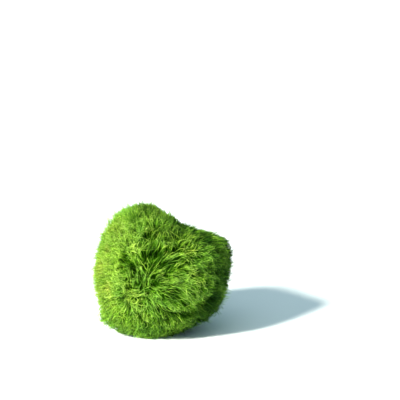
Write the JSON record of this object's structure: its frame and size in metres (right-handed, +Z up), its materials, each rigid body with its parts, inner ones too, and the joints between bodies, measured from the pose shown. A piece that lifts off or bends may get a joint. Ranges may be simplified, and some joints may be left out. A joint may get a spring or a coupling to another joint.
{
  "type": "marimo moss ball",
  "caption": "Loose ball of green filamentous alga with a shaggy, swirled coat, a low crown, a sloping shoulder and a small pressed flat that it rests on.",
  "frame": {"origin": "middle of the ball's box at the level of the pressed flat that it rests on", "axes": "+Z up, -Y the front that the picture shows, +X to the right seen from the front"},
  "size_m": [0.045, 0.0446, 0.0428],
  "materials": {
    "moss": "matt, damp green filaments with yellow-green tips and dark green gaps"
  },
  "bodies": {
    "root": {"moss_ball": "moss"}
  },
  "joints": []
}
